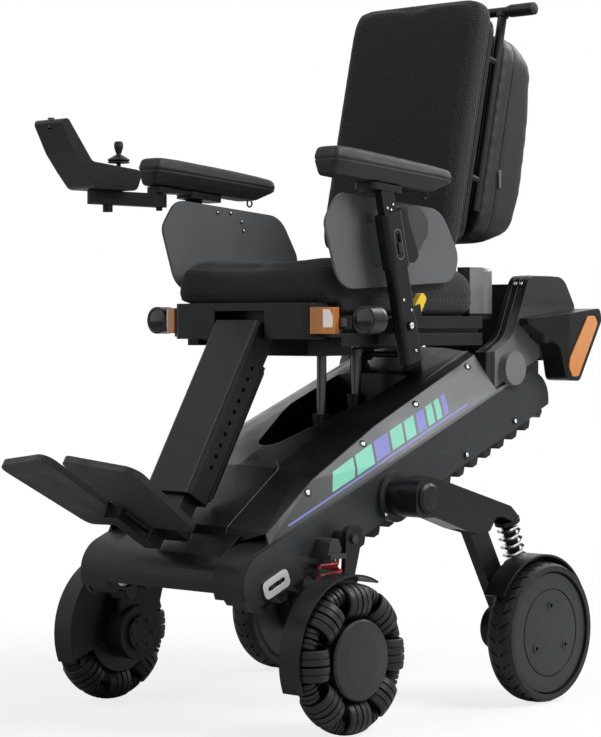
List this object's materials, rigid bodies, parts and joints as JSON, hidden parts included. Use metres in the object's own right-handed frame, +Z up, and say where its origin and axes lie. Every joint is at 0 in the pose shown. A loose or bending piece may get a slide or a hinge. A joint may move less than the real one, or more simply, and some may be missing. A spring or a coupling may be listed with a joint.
{
  "type": "stair climbing wheelchair",
  "caption": "Powered wheelchair with lugged tracks on a sloping body, roller front wheels, swing-arm rear wheels and a tilting padded seat.",
  "frame": {"origin": "centre of the box on the floor", "axes": "+Z up, front toward -Y, the sitter's left toward +X"},
  "size_m": [0.69, 1.203, 1.3088],
  "materials": {
    "shell_black": "satin moulded black",
    "panel_grey": "mid grey moulding",
    "plate_grey": "dark grey powder coat",
    "belt_rubber": "moulded rubber",
    "tyre_rubber": "tread rubber",
    "lens_orange": "clear orange lens",
    "lamp_amber": "amber lens",
    "battery_case": "black case",
    "frame_black": "satin black coat",
    "hub_grey": "satin grey disc",
    "spring_red": "gloss red",
    "bright_steel": "polished",
    "raw_steel": "machined",
    "actuator_black": "black tube",
    "knit_charcoal": "spacer knit",
    "case_black": "moulded case",
    "pad_black": "soft moulded pad",
    "foot_black": "grained plastic",
    "lever_yellow": "yellow moulding",
    "button_grey": "grey moulding",
    "knob_black": "black moulding"
  },
  "bodies": {
    "chassis": {"body_shell": "shell_black", "side_panels": "panel_grey", "track_frames": "plate_grey", "track_belts": "belt_rubber", "rear_hood": "shell_black", "tail_lamps": "shell_black", "tail_lenses": "lens_orange", "battery_pack": "battery_case", "lift_tubes": "actuator_black", "front_spring_left": "spring_red", "front_spring_right": "spring_red"},
    "track_drive": {"drive_axle": "raw_steel"},
    "track_idler": {"idler_axle": "raw_steel"},
    "front_arm_left": {"front_arm_left": "frame_black"},
    "front_arm_right": {"front_arm_right": "frame_black"},
    "front_wheel_left": {"front_hub_left": "hub_grey", "front_rollers_left": "belt_rubber"},
    "front_wheel_right": {"front_hub_right": "hub_grey", "front_rollers_right": "belt_rubber"},
    "rear_arms": {"rear_arms": "frame_black", "rear_spring_left": "bright_steel", "rear_spring_right": "bright_steel"},
    "rear_leg_left": {"rear_leg_left": "frame_black"},
    "rear_leg_right": {"rear_leg_right": "frame_black"},
    "rear_wheel_left": {"rear_tyre_left": "tyre_rubber", "rear_disc_left": "hub_grey"},
    "rear_wheel_right": {"rear_tyre_right": "tyre_rubber", "rear_disc_right": "hub_grey"},
    "lift_rod_front": {"lift_rod_front": "bright_steel"},
    "lift_rod_rear": {"lift_rod_rear": "bright_steel"},
    "seat": {"seat_frame": "frame_black", "front_bar": "shell_black", "corner_lamps": "lamp_amber", "seat_cushion": "knit_charcoal"},
    "back": {"back_frame": "frame_black", "back_cushion": "knit_charcoal", "push_bar": "frame_black", "storage_case": "case_black"},
    "legrest": {"leg_column": "frame_black"},
    "foot_bracket": {"foot_bracket": "frame_black"},
    "footplate_left": {"footplate_left": "foot_black"},
    "footplate_right": {"footplate_right": "foot_black"},
    "control": {"controller_arm": "frame_black", "controller": "shell_black"},
    "joystick_gimbal": {"joystick_gimbal": "raw_steel"},
    "joystick": {"joystick": "knob_black", "joystick_boot": "belt_rubber"},
    "power_button": {"power_button": "button_grey"},
    "armrest_left": {"arm_post_left": "frame_black", "side_guard_left": "panel_grey"},
    "arm_top_left": {"arm_tube_left": "frame_black", "arm_pad_left": "pad_black"},
    "release_lever_left": {"release_lever_left": "lever_yellow"},
    "height_button_left": {"height_button_left": "button_grey"},
    "armrest_right": {"arm_post_right": "frame_black", "side_guard_right": "panel_grey"},
    "arm_top_right": {"arm_tube_right": "frame_black", "arm_pad_right": "pad_black"},
    "release_lever_right": {"release_lever_right": "lever_yellow"},
    "height_button_right": {"height_button_right": "button_grey"}
  },
  "joints": [
    {"name": "track_drive_spin", "type": "hinge", "parent": "chassis", "child": "track_drive", "pos_m": [0, 0.44496, 0.54683], "axis": [1, 0, 0], "continuous": true},
    {"name": "track_idler_spin", "type": "hinge", "parent": "chassis", "child": "track_idler", "pos_m": [0, -0.29844, 0.254], "axis": [1, 0, 0], "continuous": true},
    {"name": "front_suspension_left", "type": "hinge", "parent": "chassis", "child": "front_arm_left", "pos_m": [0.225, -0.11544, 0.321], "axis": [1, 0, 0], "range_deg": [-3, 3], "stiffness_Nm_per_rad": 2500, "springref_deg": 0.57, "deforming": ["front_spring_left"]},
    {"name": "front_wheel_spin_left", "type": "hinge", "parent": "front_arm_left", "child": "front_wheel_left", "pos_m": [0.291, -0.19544, 0.128], "axis": [1, 0, 0], "continuous": true},
    {"name": "front_suspension_right", "type": "hinge", "parent": "chassis", "child": "front_arm_right", "pos_m": [-0.225, -0.11544, 0.321], "axis": [1, 0, 0], "range_deg": [-3, 3], "stiffness_Nm_per_rad": 2500, "springref_deg": 0.57, "deforming": ["front_spring_right"]},
    {"name": "front_wheel_spin_right", "type": "hinge", "parent": "front_arm_right", "child": "front_wheel_right", "pos_m": [-0.291, -0.19544, 0.128], "axis": [1, 0, 0], "continuous": true},
    {"name": "rear_arm_swing", "type": "hinge", "parent": "chassis", "child": "rear_arms", "pos_m": [0, 0.03372, 0.38484], "axis": [1, 0, 0], "range_deg": [0, 40]},
    {"name": "rear_suspension_left", "type": "hinge", "parent": "rear_arms", "child": "rear_leg_left", "pos_m": [0.25, 0.18456, 0.338], "axis": [1, 0, 0], "range_deg": [-3, 3], "stiffness_Nm_per_rad": 3000, "springref_deg": -0.77, "deforming": ["rear_spring_left"]},
    {"name": "rear_wheel_spin_left", "type": "hinge", "parent": "rear_leg_left", "child": "rear_wheel_left", "pos_m": [0.318, 0.30656, 0.128], "axis": [1, 0, 0], "continuous": true},
    {"name": "rear_suspension_right", "type": "hinge", "parent": "rear_arms", "child": "rear_leg_right", "pos_m": [-0.25, 0.18456, 0.338], "axis": [1, 0, 0], "range_deg": [-3, 3], "stiffness_Nm_per_rad": 3000, "springref_deg": -0.77, "deforming": ["rear_spring_right"]},
    {"name": "rear_wheel_spin_right", "type": "hinge", "parent": "rear_leg_right", "child": "rear_wheel_right", "pos_m": [-0.318, 0.30656, 0.128], "axis": [1, 0, 0], "continuous": true},
    {"name": "seat_tilt", "type": "hinge", "parent": "chassis", "child": "seat", "pos_m": [0, 0.24456, 0.634], "axis": [-1, 0, 0], "range_deg": [0, 10]},
    {"name": "lift_rod_front_slide", "type": "slide", "parent": "chassis", "child": "lift_rod_front", "axis": [0, 0, 1], "range_m": [0, 0.035]},
    {"name": "lift_rod_rear_slide", "type": "slide", "parent": "chassis", "child": "lift_rod_rear", "axis": [0, 0, 1], "range_m": [0, 0.017]},
    {"name": "back_recline", "type": "hinge", "parent": "seat", "child": "back", "pos_m": [0, 0.30456, 0.735], "axis": [-1, 0, 0], "range_deg": [0, 20]},
    {"name": "legrest_swing", "type": "hinge", "parent": "seat", "child": "legrest", "pos_m": [0, -0.14344, 0.672], "axis": [-1, 0, 0], "range_deg": [0, 45]},
    {"name": "foot_height", "type": "slide", "parent": "legrest", "child": "foot_bracket", "axis": [0, 0.515, 0.8572], "range_m": [-0.02, 0.038]},
    {"name": "footplate_fold_left", "type": "hinge", "parent": "foot_bracket", "child": "footplate_left", "pos_m": [0.012, -0.42163, 0.36434], "axis": [0, -0.8572, 0.515], "range_deg": [0, 85]},
    {"name": "footplate_fold_right", "type": "hinge", "parent": "foot_bracket", "child": "footplate_right", "pos_m": [-0.012, -0.42163, 0.36434], "axis": [0, 0.8572, -0.515], "range_deg": [0, 85]},
    {"name": "armrest_flip_left", "type": "hinge", "parent": "seat", "child": "armrest_left", "pos_m": [0.235, 0.01956, 0.688], "axis": [-1, 0, 0], "range_deg": [0, 60]},
    {"name": "arm_height_left", "type": "slide", "parent": "armrest_left", "child": "arm_top_left", "axis": [0, -0.2385, 0.9711], "range_m": [0, 0.06]},
    {"name": "lever_left", "type": "hinge", "parent": "armrest_left", "child": "release_lever_left", "pos_m": [0.235, 0.04587, 0.71506], "axis": [-1, 0, 0], "range_deg": [0, 20], "stiffness_Nm_per_rad": 0.4},
    {"name": "height_lock_left", "type": "slide", "parent": "armrest_left", "child": "height_button_left", "axis": [0, -0.2385, 0.9711], "range_m": [0, 0.012]},
    {"name": "armrest_flip_right", "type": "hinge", "parent": "seat", "child": "armrest_right", "pos_m": [-0.235, 0.01956, 0.688], "axis": [-1, 0, 0], "range_deg": [0, 60]},
    {"name": "arm_height_right", "type": "slide", "parent": "armrest_right", "child": "arm_top_right", "axis": [0, -0.2385, 0.9711], "range_m": [0, 0.06]},
    {"name": "lever_right", "type": "hinge", "parent": "armrest_right", "child": "release_lever_right", "pos_m": [-0.235, 0.04587, 0.71506], "axis": [-1, 0, 0], "range_deg": [0, 20], "stiffness_Nm_per_rad": 0.4},
    {"name": "height_lock_right", "type": "slide", "parent": "armrest_right", "child": "height_button_right", "axis": [0, -0.2385, 0.9711], "range_m": [0, 0.012]},
    {"name": "control_swing", "type": "hinge", "parent": "arm_top_right", "child": "control", "pos_m": [-0.216, -0.14344, 0.915], "axis": [0, 0, -1], "range_deg": [0, 85]},
    {"name": "joystick_fore", "type": "hinge", "parent": "control", "child": "joystick_gimbal", "pos_m": [-0.216, -0.24544, 0.956], "axis": [1, 0, 0], "range_deg": [-15, 15], "stiffness_Nm_per_rad": 0.3},
    {"name": "joystick_side", "type": "hinge", "parent": "joystick_gimbal", "child": "joystick", "pos_m": [-0.216, -0.24544, 0.956], "axis": [0, 1, 0], "range_deg": [-15, 15], "stiffness_Nm_per_rad": 0.3},
    {"name": "power_press", "type": "slide", "parent": "control", "child": "power_button", "axis": [0, 0, -1], "range_m": [0, 0.0015], "stiffness_N_per_m": 600}
  ],
  "couplings": [
    {"joint": "track_idler_spin", "follows": "track_drive_spin", "ratio": 1},
    {"joint": "lift_rod_front_slide", "follows": "seat_tilt", "m_per_rad": 0.182},
    {"joint": "lift_rod_rear_slide", "follows": "seat_tilt", "m_per_rad": 0.085}
  ]
}
